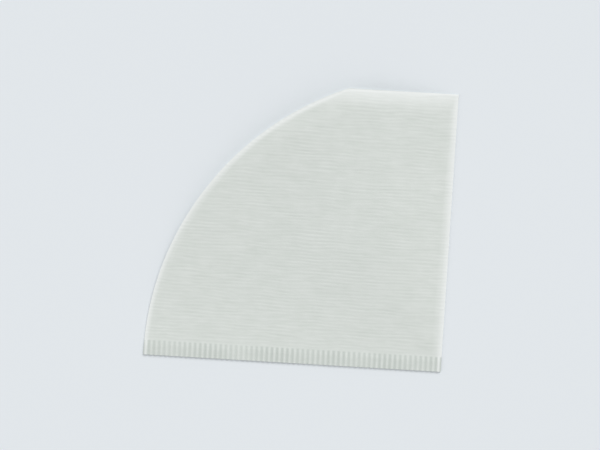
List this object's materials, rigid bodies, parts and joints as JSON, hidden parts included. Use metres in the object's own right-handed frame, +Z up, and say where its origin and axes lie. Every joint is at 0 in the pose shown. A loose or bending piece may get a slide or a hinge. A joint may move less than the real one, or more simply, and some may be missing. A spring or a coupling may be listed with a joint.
{
  "type": "cone paper coffee filter",
  "caption": "Cone filter of white creped paper, folded flat as a quarter disc, with a crimped seam, a folded edge, a straight cut and an open mouth along its arc.",
  "frame": {"origin": "centre of the bounding box, on the surface that the flat ply lies on", "axes": "+X along the crimped seam towards the folded corner, +Y along the folded edge away from that corner, +Z up from the flat ply"},
  "size_m": [0.116, 0.108, 0.0072],
  "materials": {
    "paper": "matte, finely creped, uncoated white paper"
  },
  "bodies": {
    "root": {"paper_filter": "paper"}
  },
  "joints": []
}
